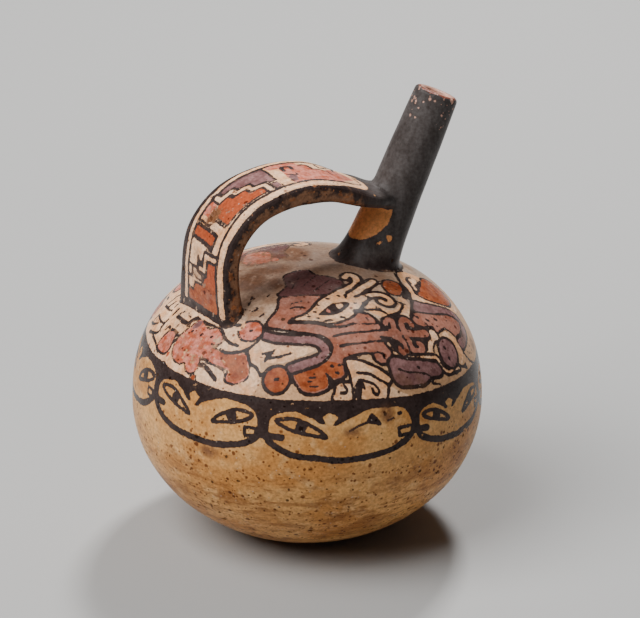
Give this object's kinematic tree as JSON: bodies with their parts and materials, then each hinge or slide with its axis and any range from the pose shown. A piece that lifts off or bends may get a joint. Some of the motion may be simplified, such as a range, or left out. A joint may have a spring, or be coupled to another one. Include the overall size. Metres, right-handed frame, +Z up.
{
  "type": "single-spout jug",
  "caption": "round hollow fired-clay jug on a small flat foot, with one slanted tubular spout and a flat strap handle bridging from shoulder to spout, slip painted and burnished",
  "frame": {"origin": "centre of the flat foot, on the surface that the jug stands on", "axes": "+Z up; +X from the strap handle towards the side that the spout leans to; +Y completes a right-handed frame"},
  "size_m": [0.145, 0.145, 0.1821],
  "materials": {
    "slip_painted_clay": "burnished slip-painted earthenware, worn and pitted"
  },
  "bodies": {
    "root": {"jug_lower_half": "slip_painted_clay", "jug_upper_half": "slip_painted_clay"}
  },
  "joints": []
}
